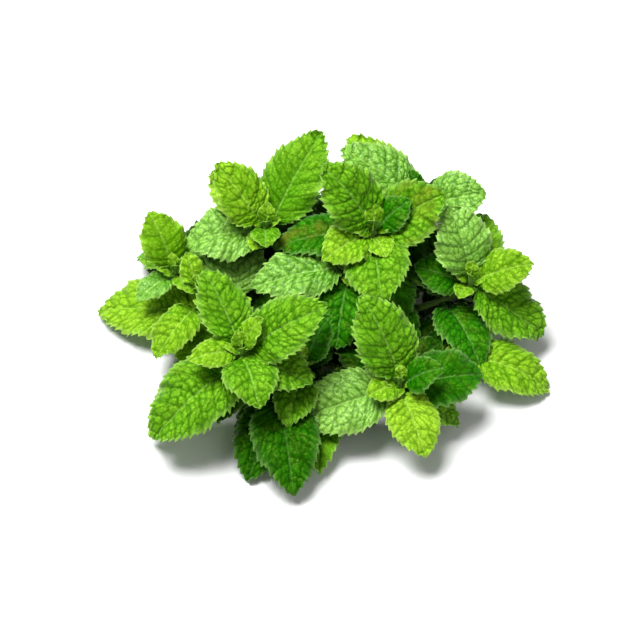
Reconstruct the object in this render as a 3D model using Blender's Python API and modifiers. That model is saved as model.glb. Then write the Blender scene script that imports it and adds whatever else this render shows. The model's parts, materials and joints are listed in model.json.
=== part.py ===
"""A bushy cut mint sprig lying on a table.

A square main stem lies along Y with its flat underside on z = 0. Side shoots grow out of it to the left,
to the right and upwards, and each carries pairs of arched leaves up to its growing tip. The main stem and
its shoots grew as one piece, so they are one object, and every leaf is an object of its own. Metres, +Z up,
with the origin on the underside of the main stem.
"""

import math
from collections import namedtuple

import bmesh
import bpy
from mathutils import Matrix, Vector
from mathutils.bvhtree import BVHTree

MM = 0.001
GAP = 0.3 * MM
WELD = 0.01 * MM

# Main stem: square in section, cut at +Y, its growing end at -Y.
MAIN_STEM_WIDTH = 4.0 * MM
MAIN_STEM_CUT_Y = 62 * MM
MAIN_STEM_END_Y = -52 * MM
MAIN_STEM_EDGE = 0.7 * MM
MAIN_STEM_CELLS = 12
MAIN_STEM_SWAY = 1.5 * MM

# Side shoots: round tubes along Bezier curves.
SHOOT_RADIUS = 1.15 * MM
SHOOT_STEPS = 9
SHOOT_BEVEL = 2
MEASURING_STEPS = 200

# Leaves. Lengths include the petiole, the short bare stalk.
LEAF_THICKNESS = 0.8 * MM
LEAF_CELLS_LONG = 8
LEAF_CELLS_WIDE = 4
PETIOLE_SHARE = 0.10
NARROWEST_HALF = 0.75 * MM
OUTLINE_BASE_POWER = 0.52
OUTLINE_TIP_POWER = 0.72
MIDRIB_FOLD = 0.22
EDGE_CURL = 0.30

# A leaf is turned in steps of a few degrees until it is clear of the pieces before it by CLEARANCE.
CLEARANCE = 1.5 * GAP
TURN_STEP = 3
MOST_TURN = 30

Shoot = namedtuple("Shoot", "name side foot_y crown lean rise leaves")
Leaf = namedtuple("Leaf", "name heading pitch length width level roll arch tone")

# side: where the shoot leaves the main stem. foot_y, crown: millimetres. lean: heading and pitch, in
# degrees, of the shoot's last stretch. rise: how far its curve reaches out at the foot and at the crown.
# heading: degrees from +X, anticlockwise seen from above. pitch: degrees above the horizontal. length,
# width and level, the distance of the leaf's foot below the growing tip, in millimetres. roll: degrees
# about the leaf's length, left edge up. arch: rise of the midrib over the leaf's length.
SHOOTS = [
    Shoot("centre", "top", 30, (25, 3, 52), (300, 78), (14, 20), [
        Leaf("a", 151, 50, 39, 29, 0, -16, 0.10, "mid"),
        Leaf("b", 16, 27, 36, 31, 5, 22, 0.12, "mid"),
        Leaf("c", 215, 2, 27, 22, 3, -12, 0.16, "young"),
        Leaf("d", 279, -2, 36, 30, 6, 10, 0.14, "mid"),
        Leaf("e", 25, 50, 20, 17, 0, 15, 0.14, "dark"),
        Leaf("g", 298, -32, 40, 26, 14, 0, 0.12, "dark"),
        Leaf("h", 188, -1, 42, 25, 6, 2, 0.12, "dark"),
    ]),
    Shoot("back_left", "left", 18, (-25, 10, 48), (190, 80), (12, 18), [
        Leaf("a", 150, 48, 35, 25, 0, -18, 0.08, "young"),
        Leaf("c", 56, 50, 50, 29, 5, 5, 0.08, "mid"),
        Leaf("b", 132, 36, 36, 25, 3, 0, 0.10, "young"),
        Leaf("d", 187, 0, 35, 28, 6, -14, 0.12, "pale"),
        Leaf("f", 270, 18, 16, 14, 1, 0, 0.12, "mid"),
        Leaf("k", 82, -28, 44, 28, 16, 0, 0.12, "mid"),
    ]),
    Shoot("front_left", "left", -34, (-35, -61, 45), (230, 80), (16, 18), [
        Leaf("e", 32, 62, 18, 13, 0, 0, 0.10, "young"),
        Leaf("a", 126, 50, 39, 24, 3, 0, 0.08, "mid"),
        Leaf("b", 15, 38, 43, 28, 4, 22, 0.12, "mid"),
        Leaf("d", 197, 8, 22, 15, 1, -15, 0.14, "young"),
        Leaf("c", 282, 0, 28, 25, 3, 0, 0.14, "mid"),
        Leaf("f", 215, -20, 52, 33, 8, -15, 0.10, "mid"),
        Leaf("g", 205, -24, 54, 30, 14, -15, 0.10, "young"),
        Leaf("h", 334, -6, 31, 24, 7, 10, 0.12, "mid"),
    ]),
    Shoot("front_right", "right", -34, (36, -66, 28), (310, 74), (16, 14), [
        Leaf("a", 124, 50, 42, 29, 0, 0, 0.08, "mid"),
        Leaf("e", 213, 10, 16, 14, 1, -10, 0.14, "young"),
        Leaf("f", 357, 35, 20, 17, 0, 20, 0.14, "dark"),
        Leaf("d", 288, -20, 33, 24, 3, 0, 0.12, "young"),
        Leaf("c", 196, -15, 46, 30, 5, -22, 0.12, "pale"),
        Leaf("b", 357, 10, 37, 28, 5, 20, 0.12, "dark"),
        Leaf("g", 335, -22, 32, 20, 10, 0, 0.12, "mid"),
    ]),
    Shoot("low_right", "right", -20, (65, -38, 15), (345, 66), (26, 14), [
        Leaf("b", 348, -15, 41, 27, 2, 8, 0.12, "young"),
    ]),
    Shoot("right", "right", -8, (69, -9, 32), (350, 76), (30, 16), [
        Leaf("a", 116, 48, 34, 28, 0, 0, 0.12, "pale"),
        Leaf("c", 10, 30, 28, 22, 1, 20, 0.10, "young"),
        Leaf("b", 74, 32, 35, 28, 6, 0, 0.12, "mid"),
        Leaf("d", 331, -26, 39, 28, 4, 4, 0.10, "mid"),
        Leaf("e", 172, 16, 24, 20, 5, -15, 0.12, "dark"),
        Leaf("g", 294, -10, 38, 26, 20, -8, 0.12, "dark"),
        Leaf("k", 62, -22, 40, 24, 12, 0, 0.12, "mid"),
    ]),
    Shoot("left", "left", -8, (-55, -18, 36), (0, 88), (34, 34), [
        Leaf("a", 112, 52, 16, 12, 0, 0, 0.08, "young"),
        Leaf("b", 233, -22, 30, 20, 10, 0, 0.12, "young"),
        Leaf("d", 168, -5, 55, 32, 28, -12, 0.10, "young"),
        Leaf("f", 239, -6, 28, 18, 26, 0, 0.10, "young"),
    ]),
    Shoot("mid_left", "left", 4, (-37, -15, 23), (160, 74), (18, 14), [
        Leaf("a", 105, 25, 34, 28, 1, 0, 0.14, "pale"),
        Leaf("b", 125, 22, 37, 25, 3, 0, 0.10, "pale"),
        Leaf("h", 30, -4, 40, 28, 12, 0, 0.10, "dark"),
    ]),
    Shoot("far_left", "left", 44, (-67, 0, 28), (200, 76), (26, 18), [
        Leaf("a", 122, 50, 28, 23, 0, 0, 0.10, "young"),
        Leaf("b", 70, 36, 24, 14, 4, 0, 0.10, "mid"),
        Leaf("c", 223, -6, 20, 14, 2, 0, 0.12, "pale"),
        Leaf("k", 122, -27, 38, 24, 12, 0, 0.12, "mid"),
    ]),
    Shoot("back_right", "right", 44, (48, 25, 46), (20, 80), (20, 20), [
        Leaf("a", 153, 23, 44, 29, 2, -10, 0.08, "pale"),
        Leaf("d", 0, 22, 28, 26, 2, 22, 0.12, "pale"),
        Leaf("b", 139, 31, 46, 26, 9, 0, 0.10, "young"),
        Leaf("k", 70, -30, 44, 26, 14, 0, 0.12, "mid"),
    ]),
    Shoot("low_front", "left", -46, (-20, -62, 18), (250, 78), (10, 10), [
        Leaf("a", 286, -9, 50, 31, 1, 0, 0.12, "dark"),
        Leaf("b", 252, -13, 43, 25, 7, 0, 0.10, "dark"),
    ]),
    Shoot("tip", "top", -48, (-7, -57, 31), (280, 84), (12, 14), [
        Leaf("b", 43, 52, 24, 18, 0, 0, 0.10, "dark"),
        Leaf("d", 256, -16, 29, 20, 8, 0, 0.12, "mid"),
        Leaf("c", 275, -4, 48, 22, 24, 0, 0.05, "mid"),
    ]),
    Shoot("heart", "top", 6, (14, -10, 43), (270, 82), (10, 14), [
        Leaf("a", 193, 0, 44, 26, 2, -5, 0.10, "pale"),
        Leaf("b", 257, -26, 36, 29, 3, 0, 0.10, "dark"),
        Leaf("m", 335, -4, 44, 28, 22, 0, 0.10, "dark"),
    ]),
]

TONES = {
    "mid": ((0.10, 0.33, 0.02), 0.45),
    "dark": ((0.03, 0.16, 0.01), 0.50),
    "pale": ((0.24, 0.48, 0.14), 0.45),
    "young": ((0.28, 0.55, 0.03), 0.42),
    "stem": ((0.20, 0.38, 0.06), 0.50),
}


def clear_scene():
    for obj in list(bpy.data.objects):
        bpy.data.objects.remove(obj, do_unlink=True)


def make_materials():
    """One Principled material for each tone of leaf and for the stems."""
    materials = {}
    for tone, (colour, roughness) in TONES.items():
        material = bpy.data.materials.new(f"mint_{tone}")
        material.use_nodes = True
        shader = material.node_tree.nodes["Principled BSDF"]
        shader.inputs["Base Color"].default_value = (*colour, 1)
        shader.inputs["Roughness"].default_value = roughness
        material.diffuse_color = (*colour, 1)
        materials[tone] = material
    return materials


def direction(heading, pitch):
    """Unit vector for a heading and a pitch in degrees."""
    h, p = math.radians(heading), math.radians(pitch)
    return Vector((math.cos(p) * math.cos(h), math.cos(p) * math.sin(h), math.sin(p)))


def link(collection, name, data, material):
    obj = bpy.data.objects.new(name, data)
    data.materials.append(material)
    collection.objects.link(obj)
    return obj


def main_stem_sway(y):
    """How far the stem bows sideways at y: one slow wave that is zero at y = 0."""
    return MAIN_STEM_SWAY * math.sin(math.pi * y / (MAIN_STEM_CUT_Y - MAIN_STEM_END_Y))


def make_main_stem(collection, material):
    """A box drawn out along Y, cut into cells, bowed sideways, with its long edges bevelled."""
    length = MAIN_STEM_CUT_Y - MAIN_STEM_END_Y
    middle = (MAIN_STEM_CUT_Y + MAIN_STEM_END_Y) / 2
    bm = bmesh.new()
    bmesh.ops.create_grid(bm, x_segments=1, y_segments=MAIN_STEM_CELLS, size=0.5)
    for vertex in bm.verts:
        y = middle + vertex.co.y * length
        x = vertex.co.x * MAIN_STEM_WIDTH + main_stem_sway(y)
        vertex.co = Vector((x, y, 0))
    mesh = bpy.data.meshes.new("stem")
    bm.to_mesh(mesh)
    bm.free()
    stem = link(collection, "stem", mesh, material)
    wall = stem.modifiers.new("Square section", "SOLIDIFY")
    wall.thickness = MAIN_STEM_WIDTH
    wall.offset = 1
    edge = stem.modifiers.new("Rounded edges", "BEVEL")
    edge.width = MAIN_STEM_EDGE
    edge.segments = 1
    return stem


def shoot_foot(shoot):
    """The point inside the main stem where a shoot begins, and the way it leaves."""
    y = shoot.foot_y * MM
    way = {"top": (0, 0, 1), "right": (1, 0, 0), "left": (-1, 0, 0)}[shoot.side]
    return Vector((main_stem_sway(y), y, MAIN_STEM_WIDTH / 2)), Vector(way)


def shoot_handles(shoot):
    """Foot, two handles and crown of the shoot's Bezier curve."""
    foot, way = shoot_foot(shoot)
    crown = Vector(shoot.crown) * MM
    reach_foot, reach_crown = shoot.rise
    out = foot + way * reach_foot * MM
    back = crown - direction(*shoot.lean) * reach_crown * MM
    return foot, out, back, crown


def along_shoot(shoot, level):
    """Point and direction on the shoot's curve, a distance below its tip."""
    foot, out, back, crown = shoot_handles(shoot)
    left = level * MM
    last = crown
    for step in range(MEASURING_STEPS - 1, -1, -1):
        t = step / MEASURING_STEPS
        s = 1 - t
        point = foot * s**3 + out * 3 * s * s * t + back * 3 * s * t * t + crown * t**3
        left -= (last - point).length
        if left <= 0:
            return point, (last - point).normalized()
        last = point
    raise ValueError(f"{shoot.name} is shorter than {level} mm")


def set_bezier_point(point, at, before, after):
    point.co = at
    point.handle_left_type = "FREE"
    point.handle_right_type = "FREE"
    point.handle_left = before
    point.handle_right = after


def shoot_curve(shoot):
    """A round tube along a Bezier curve from inside the main stem to the growing tip."""
    foot, out, back, crown = shoot_handles(shoot)
    curve = bpy.data.curves.new(f"{shoot.name}_curve", "CURVE")
    curve.dimensions = "3D"
    curve.resolution_u = SHOOT_STEPS
    curve.bevel_depth = SHOOT_RADIUS
    curve.bevel_resolution = SHOOT_BEVEL
    curve.use_fill_caps = True
    spline = curve.splines.new("BEZIER")
    spline.bezier_points.add(1)
    set_bezier_point(spline.bezier_points[0], foot, foot * 2 - out, out)
    set_bezier_point(spline.bezier_points[1], crown, back, crown * 2 - back)
    return curve


def welded_mesh(drawn):
    """The mesh of a drawn curve, with its caps joined to its sides."""
    graph = bpy.context.evaluated_depsgraph_get()
    mesh = bpy.data.meshes.new_from_object(drawn.evaluated_get(graph))
    bm = bmesh.new()
    bm.from_mesh(mesh)
    bmesh.ops.remove_doubles(bm, verts=bm.verts, dist=WELD)
    bm.to_mesh(mesh)
    bm.free()
    return mesh


def make_shoot(guides, shoot, material):
    """A shoot as a closed mesh, kept as a guide that the stem is joined from."""
    drawn = link(guides, f"{shoot.name}_line", shoot_curve(shoot), material)
    obj = bpy.data.objects.new(f"{shoot.name}_shoot", welded_mesh(drawn))
    bpy.data.objects.remove(drawn, do_unlink=True)
    guides.objects.link(obj)
    obj.hide_render = True
    obj.display_type = "WIRE"
    return obj


def join_shoots(stem, shoots):
    """Grow the side shoots out of the main stem: one closed body."""
    for shoot in shoots:
        union = stem.modifiers.new(shoot.name, "BOOLEAN")
        union.operation = "UNION"
        union.object = shoot


def half_width(u, width):
    """Half the leaf's width at u: a narrow petiole, then an egg-shaped blade, widest below its middle."""
    s = max(0.0, (u - PETIOLE_SHARE) / (1 - PETIOLE_SHARE))
    widest = OUTLINE_BASE_POWER / (OUTLINE_BASE_POWER + OUTLINE_TIP_POWER)
    top = widest**OUTLINE_BASE_POWER * (1 - widest) ** OUTLINE_TIP_POWER
    blade = s**OUTLINE_BASE_POWER * (1 - s) ** OUTLINE_TIP_POWER / top
    return max(NARROWEST_HALF, blade * width / 2)


def make_leaf(collection, name, leaf, material):
    """A grid bent to an arched, folded blade along +X, its petiole's foot at the origin, then thickened."""
    length, width = leaf.length * MM, leaf.width * MM
    bm = bmesh.new()
    bmesh.ops.create_grid(bm, x_segments=LEAF_CELLS_LONG, y_segments=LEAF_CELLS_WIDE, size=0.5)
    for vertex in bm.verts:
        u = vertex.co.x + 0.5
        across = vertex.co.y * 2
        y = across * half_width(u, width)
        midrib = 4 * leaf.arch * length * u * (1 - u)
        fold = MIDRIB_FOLD * abs(y) - EDGE_CURL * y * y / (width / 2)
        vertex.co = Vector((u * length, y, midrib + fold))
    mesh = bpy.data.meshes.new(name)
    bm.to_mesh(mesh)
    bm.free()
    mesh.shade_smooth()
    obj = link(collection, name, mesh, material)
    wall = obj.modifiers.new("Thickness", "SOLIDIFY")
    wall.thickness = LEAF_THICKNESS
    wall.offset = 0
    return obj


def leaf_frame(shoot, leaf, turn, tilt):
    """World matrix of a leaf: +X along it, +Z out of its upper face."""
    point, axis = along_shoot(shoot, leaf.level)
    heading, pitch = leaf.heading + turn, leaf.pitch + tilt
    along = direction(heading, pitch)
    up = direction(heading, pitch + 90)
    up = Matrix.Rotation(math.radians(leaf.roll), 3, along) @ up
    outward = direction(leaf.heading, leaf.pitch)
    outward = (outward - axis * outward.dot(axis)).normalized()
    place = point + outward * (SHOOT_RADIUS + LEAF_THICKNESS / 2 + GAP)
    frame = Matrix((along, up.cross(along), up)).transposed().to_4x4()
    frame.translation = place
    return frame


def world_tree(corners, faces, frame):
    return BVHTree.FromPolygons([frame @ corner for corner in corners], faces)


def evaluated_shape(obj):
    """Corners and faces of an object with its modifiers, in its own space."""
    graph = bpy.context.evaluated_depsgraph_get()
    evaluated = obj.evaluated_get(graph)
    mesh = evaluated.to_mesh()
    corners = [vertex.co.copy() for vertex in mesh.vertices]
    faces = [tuple(face.vertices) for face in mesh.polygons]
    evaluated.to_mesh_clear()
    return corners, faces


def fattened_shape(obj):
    """The leaf's shape with the clearance added on both faces."""
    wall = obj.modifiers["Thickness"]
    wall.thickness = LEAF_THICKNESS + 2 * CLEARANCE
    shape = evaluated_shape(obj)
    wall.thickness = LEAF_THICKNESS
    return shape


def turns():
    """Small turns and tilts, the least first."""
    steps = range(-MOST_TURN, MOST_TURN + 1, TURN_STEP)
    pairs = [(turn, tilt) for turn in steps for tilt in steps]
    return sorted(pairs, key=lambda pair: pair[0] ** 2 + pair[1] ** 2)


def settle_leaf(obj, shoot, leaf, placed):
    """Turn the leaf as little as it takes to be clear of the placed pieces and of the table."""
    corners, faces = fattened_shape(obj)
    for turn, tilt in turns():
        frame = leaf_frame(shoot, leaf, turn, tilt)
        if min((frame @ corner).z for corner in corners) < 0:
            continue
        tree = world_tree(corners, faces, frame)
        if any(tree.overlap(other) for other in placed):
            continue
        obj.matrix_world = frame
        placed.append(world_tree(*evaluated_shape(obj), frame))
        return
    raise RuntimeError(f"{obj.name} has no clear place")


def main():
    clear_scene()
    materials = make_materials()
    collection = bpy.data.collections.new("mint_sprig")
    bpy.context.scene.collection.children.link(collection)
    guides = bpy.data.collections.new("guides")
    bpy.context.scene.collection.children.link(guides)
    stem = make_main_stem(collection, materials["stem"])
    join_shoots(stem, [make_shoot(guides, shoot, materials["stem"]) for shoot in SHOOTS])
    placed = [world_tree(*evaluated_shape(stem), stem.matrix_world)]
    for shoot in SHOOTS:
        for leaf in shoot.leaves:
            obj = make_leaf(collection, f"{shoot.name}_leaf_{leaf.name}", leaf, materials[leaf.tone])
            settle_leaf(obj, shoot, leaf, placed)


main()
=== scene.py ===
"""Looks of a bushy cut mint sprig lying down: quilted, toothed leaves, budding tips and ribbed stems.

Every full-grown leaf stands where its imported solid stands, and takes its length, width and arch from it. The
stems and the small leaves follow the sprig's own driving dimensions. Names with _mm and the tables of shoots
and leaves hold millimetres, other lengths are metres, and the tables' angles are degrees.
"""

import json
import math
from collections import namedtuple

import bpy
import numpy as np
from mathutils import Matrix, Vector
from mathutils.bvhtree import BVHTree


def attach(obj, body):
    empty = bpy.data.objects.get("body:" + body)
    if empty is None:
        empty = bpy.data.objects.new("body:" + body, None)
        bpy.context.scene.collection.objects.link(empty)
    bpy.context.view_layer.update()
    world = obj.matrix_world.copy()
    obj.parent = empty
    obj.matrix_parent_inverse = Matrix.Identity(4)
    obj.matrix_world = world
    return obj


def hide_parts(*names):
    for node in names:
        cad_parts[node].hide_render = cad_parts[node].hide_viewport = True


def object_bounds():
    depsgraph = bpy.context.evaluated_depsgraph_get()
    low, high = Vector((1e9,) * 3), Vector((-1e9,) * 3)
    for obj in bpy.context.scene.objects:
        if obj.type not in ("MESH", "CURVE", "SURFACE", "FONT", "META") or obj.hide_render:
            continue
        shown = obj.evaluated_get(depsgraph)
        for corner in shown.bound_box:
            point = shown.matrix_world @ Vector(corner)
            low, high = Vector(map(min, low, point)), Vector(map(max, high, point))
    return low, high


bl_info = {
    "name": "Mint sprig",
    "version": (1, 0, 0),
    "blender": (4, 5, 0),
    "location": "3D View > Sidebar > Mint",
    "description": "Builds a cut mint sprig with quilted, toothed leaves",
    "category": "Add Mesh",
}

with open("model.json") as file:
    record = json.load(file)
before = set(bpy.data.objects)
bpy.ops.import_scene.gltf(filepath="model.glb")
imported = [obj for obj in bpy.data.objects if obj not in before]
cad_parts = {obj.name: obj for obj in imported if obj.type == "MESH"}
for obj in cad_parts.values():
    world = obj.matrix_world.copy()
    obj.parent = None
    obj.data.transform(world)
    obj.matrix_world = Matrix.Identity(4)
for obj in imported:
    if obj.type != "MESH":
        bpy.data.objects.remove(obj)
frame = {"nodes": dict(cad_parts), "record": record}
CAD_LOW, CAD_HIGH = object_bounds()

MM = 0.001

# The main stem, square in section, cut at +Y and bowed sideways.
STEM_WIDTH_MM = 4.0
STEM_CUT_Y_MM = 62
STEM_END_Y_MM = -52
STEM_SWAY_MM = 1.5

# Points around a stem, and how square its section is: 2 would be round.
STEM_AROUND = 24
STEM_SQUARENESS = 3.4

# Each ring of the cut face, from its middle out: depth below the cut, share of the radius, and bare flesh.
CUT_DEPTHS_MM = np.array((0.0, 0.02, 0.05, 0.12))
CUT_SHARES = (0.3, 0.6, 0.88, 0.97)
CUT_FLESH = (1, 0.9, 0.5, 0.25)

# Radius of a packed side shoot, thickness of a packed leaf, and how far below its tip a shoot swells.
SHOOT_RADIUS_MM = 1.15
LEAF_SOLID_MM = 0.8
PAIR_LEVELS_MM = (3, 14, 28)

# Every leaf starts inside its stem by this much, and below this height it bends to lie on the floor.
ROOT_MM = 1.4
LAID_HEIGHT = 1.5 * MM

# A leaf's outline: the powers that shape its foot and its tip.
FOOT_POWER = 0.50
TIP_POWER = 0.70

# A leaf's stalk: its share of the length, half its width, and the lines across it.
STALK_SHARE = 0.07
STALK_HALF_MM = 0.8
STALK_ROWS = 5

# Where a tooth's point lies along it, how much teeth differ, and the leaf past which they get no deeper.
TOOTH_TOP = 0.8
TOOTH_SPREAD = 0.6
DEEPEST_TOOTHED_MM = 42

# One unit of a piece's UV map.
UV_MM = 100

# Each pair of a growing tip, from the inside out: length over the bud's, pitch, and distance below the tip.
BUD_PAIRS = ((0.5, 84, 0), (0.95, 73, 0.4), (1.1, 40, 1.8), (1.2, 16, 4.0))

# Half the floor's side, what the lights face, and the lights: the fill's power is a share of the key's.
FLOOR_REACH = 3.0
SPRIG_MIDDLE = (0, 0, 0.03)
KEY_PLACE = (-0.4, 0.12, 1.45)
KEY_SIDE = 0.8
FILL_PLACE = (0.9, -0.8, 0.9)
FILL_SIDE = 1.2
FILL_SHARE = 0.08

# What the camera faces, and how far in front of that the width is measured.
CAMERA_TARGET = (0, -0.00345, -0.0029)
WIDTH_NEARER = 0.04

# quilt: strength of the quilting. fold and curl: the bend across a leaf. ruffle and droop: waves of its
# margin and bend of its tip, over the length. flush: reddish tinge. shade: painted shade, how much darker it
# is, or, below 0, painted light, how much lighter. grid: coarseness of its mesh.
Style = namedtuple("Style", "quilt fold curl ruffle droop flush shade grid")
FULL_STYLE = Style(1.0, 0.50, 0.50, 0.028, 0.06, 0.2, 0.0, 1.0)
# Lower leaves have a coarser mesh and full painted shade: they are darkened as if lying in the sprig's shadow.
HIDDEN_STYLE = FULL_STYLE._replace(shade=1.0, grid=1.7)
BUD_STYLE = Style(1.0, 0.28, 0.30, 0.015, 0.04, 0.1, 0.0, 0.75)
STRONG_FLUSH = 1.0

Shoot = namedtuple("Shoot", "name side foot_y crown lean rise bud turn")
Small = namedtuple("Small", "shoot name heading pitch length width level roll arch tone")

# side: where the shoot leaves the main stem. foot_y and crown: its two ends. rise: how far it runs straight
# at each of them. lean: heading and pitch of its last stretch. bud: length of the largest leaf of its tip.
# turn: heading of the bud's first pair.
SHOOTS = (
    Shoot("centre", "top", 30, (25, 3, 52), (300, 78), (14, 20), 15, 8),
    Shoot("back_left", "left", 18, (-25, 10, 48), (190, 80), (12, 18), 11, -12),
    Shoot("front_left", "left", -34, (-35, -61, 45), (230, 80), (16, 18), 9, 14),
    Shoot("front_right", "right", -34, (36, -66, 28), (310, 74), (16, 14), 9, -6),
    Shoot("low_right", "right", -20, (65, -38, 15), (345, 66), (26, 14), 7, 20),
    Shoot("right", "right", -8, (69, -9, 32), (350, 76), (30, 16), 11, -18),
    Shoot("left", "left", -8, (-55, -18, 36), (0, 88), (34, 34), 8, 10),
    Shoot("mid_left", "left", 4, (-37, -15, 23), (160, 74), (18, 14), 7, 0),
    Shoot("far_left", "left", 44, (-67, 0, 28), (200, 76), (26, 18), 9, 16),
    Shoot("back_right", "right", 44, (48, 25, 46), (20, 80), (20, 20), 9, -10),
    Shoot("low_front", "left", -46, (-20, -62, 18), (250, 78), (10, 10), 6, 4),
    Shoot("tip", "top", -48, (-7, -57, 31), (280, 84), (12, 14), 9, 12),
    Shoot("heart", "top", 6, (14, -10, 43), (270, 82), (10, 14), 8, -4),
)

# Leaves too small or too hidden to carry a solid of their own. level: distance below the growing tip. arch:
# rise over length.
SMALL_LEAVES = (
    # Both small leaves take the shaded tone, which is painted shade.
    Small("right", "u", 98, -4, 30, 20, 38, 0, 0.10, "dark"),
    Small("back_right", "c", 120, 60, 20, 10, 4, 0, 0.10, "dark"),
)

# How strongly a leaf is quilted, where it differs from 1.
QUILT = {
    "back_left_leaf_c": 0.55,
    "far_left_leaf_a": 0.5,
    "far_left_leaf_b": 0.6,
    "far_left_leaf_c": 0.4,
    "front_right_leaf_a": 0.8,
    "front_right_leaf_b": 0.6,
    "right_leaf_a": 0.8,
    "left_leaf_f": 0.3,
    "tip_leaf_c": 0.3,
}

# Painted shade and painted light on single leaves: darker than their material above 0, lighter below 0.
PAINTED_SHADING = {
    "back_left_leaf_d": -0.4,
    "front_right_leaf_c": -0.7,
    "front_right_leaf_d": -1.0,
    "low_front_leaf_a": 0.4,
    "low_front_leaf_b": 0.4,
    "right_leaf_a": -0.5,
    "right_leaf_b": -0.8,
    "right_leaf_c": 0.15,
    "left_leaf_d": -0.3,
    "mid_left_leaf_a": -0.9,
}

# Leaves with a strong reddish tinge.
FLUSHED_LEAVES = ("back_left_leaf_b", "centre_leaf_b", "centre_leaf_h")

# Lower leaves: a pair every so many millimetres down each shoot, below its own leaves, each pair across the
# last. A leaf takes the first length, turn and pitch at which nothing is in its way, or isn't there.
LOWER_FIRST_MM = 12
LOWER_STEP_MM = 10
LOWER_LENGTH_MM = 30
LOWER_SHARES = (1.0, 0.85, 0.7)
LOWER_TURNS = (0, 18, -18, 36, -36)
LOWER_PITCHES = (12, 0, 25, -12, 40, -25, 55)

# The way to the front, 50 degrees up, and the share of a lower leaf that may hide packed leaves from there.
FRONT = Vector((0, -1, 1.19)).normalized()
MOST_HIDING = 0.12


# ---- numbers


def scatter(i, j, seed):
    """A repeatable number from 0 to 1 for each pair of whole numbers, by mixing their bits."""
    h = (i.astype(np.int64) * 73856093) ^ (j.astype(np.int64) * 19349663) ^ (seed * 83492791)
    h = ((h ^ (h >> 13)) * 1274126177) & 0xFFFFFFFF
    return ((h ^ (h >> 16)) & 0xFFFF) / 65535.0


def smoothstep(low, high, x):
    """0 below low, 1 above high, and 3x squared less 2x cubed between."""
    x = np.clip((x - low) / (high - low), 0, 1)
    return x * x * (3 - 2 * x)


def bell(x, width):
    """A bell curve: 1 at 0, and e to the -1 at one width."""
    return np.exp(-((x / width) ** 2))


def cells(u, v, jitter, seed):
    """Distance to the nearest and the second nearest of points scattered one to a square of the plane."""
    column, row = np.floor(u), np.floor(v)
    found = []
    for di in (-1, 0, 1):
        for dj in (-1, 0, 1):
            i, j = column + di, row + dj
            x = i + 0.5 + jitter * (scatter(i, j, seed) - 0.5)
            y = j + 0.5 + jitter * (scatter(i, j, seed + 7) - 0.5)
            found.append(np.hypot(u - x, v - y))
    nearest = np.sort(np.array(found), axis=0)
    return nearest[0], nearest[1]


def drift(x, rng, waves=3, longest=1.0):
    """A slow random curve: sines of falling length and height, with random phases."""
    total = np.zeros_like(x)
    for k in range(waves):
        total += np.sin(2 * math.pi * (x * (1.7**k) / longest + rng.random())) / (1.6**k)
    return total


def direction(heading, pitch):
    """Unit vector for a heading and a pitch in degrees."""
    h, p = math.radians(heading), math.radians(pitch)
    return np.array((math.cos(p) * math.cos(h), math.cos(p) * math.sin(h), math.sin(p)))


def unit(v):
    """A vector, or each of an array of them, made 1 long."""
    return v / np.linalg.norm(v, axis=-1, keepdims=True)


# ---- meshes


def grid_faces(rows, columns, first):
    """Quads of a grid of rows by columns points whose first point has index first, seen from above."""
    index = first + np.arange(rows * columns).reshape(rows, columns)
    corners = (index[:-1, :-1], index[1:, :-1], index[1:, 1:], index[:-1, 1:])
    return np.stack(corners, axis=-1).reshape(-1, 4)


def rim_faces(rows, columns, second):
    """Quads that join the border of one grid to that of its twin, whose points start at index second."""
    index = np.arange(rows * columns).reshape(rows, columns)
    border = np.concatenate([index[:-1, 0], index[-1, :-1], index[:0:-1, -1], index[0, :0:-1]])
    after = np.roll(border, -1)
    return np.stack([border, border + second, after + second, after], axis=-1)


def tube_faces(rings, around):
    """Faces of a closed tube of rings, each of around points: an array of quads and one of the two caps."""
    index = np.arange(rings * around).reshape(rings, around)
    turned = np.roll(index, -1, axis=1)
    sides = np.stack([index[:-1], turned[:-1], turned[1:], index[1:]], axis=-1).reshape(-1, 4)
    return [sides, np.stack([index[0, ::-1], index[-1]])]


def link_new(name, data):
    """An object of some data, in the scene."""
    obj = bpy.data.objects.new(name, data)
    bpy.context.scene.collection.objects.link(obj)
    return obj


def new_object(name, points, faces, masks, uv):
    """A smooth mesh object with a float attribute for each mask and one UV map, already in its place.

    faces is a list of arrays, each of faces with the same number of corners."""
    mesh = bpy.data.meshes.new(name)
    mesh.from_pydata(points.tolist(), [], sum((block.tolist() for block in faces), []))
    mesh.shade_smooth()
    for mask, values in masks.items():
        layer = mesh.attributes.new(mask, "FLOAT", "POINT")
        layer.data.foreach_set("value", np.ascontiguousarray(values, np.float32))
    corner = np.empty(len(mesh.loops), np.int32)
    mesh.loops.foreach_get("vertex_index", corner)
    layer = mesh.uv_layers.new(name="flat")
    layer.data.foreach_set("uv", np.ascontiguousarray(uv[corner], np.float32).ravel())
    return link_new(name, mesh)


def joined(shells):
    """Several closed shells as one: their points, faces, masks and UV in a row."""
    points, faces, masks, uv = zip(*shells)
    firsts = np.cumsum([0, *(len(block) for block in points)])
    faces = [block + first for blocks, first in zip(faces, firsts) for block in blocks]
    masks = {key: np.concatenate([one[key] for one in masks]) for key in masks[0]}
    return np.concatenate(points), faces, masks, np.concatenate(uv)


# ---- one leaf


def outline(u, width):
    """Half width along the blade: u to a power times (1 - u) to a power, an egg widest below its middle."""
    widest = FOOT_POWER / (FOOT_POWER + TIP_POWER)
    peak = widest**FOOT_POWER * (1 - widest) ** TIP_POWER
    return width / 2 * u**FOOT_POWER * (1 - u) ** TIP_POWER / peak


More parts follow.
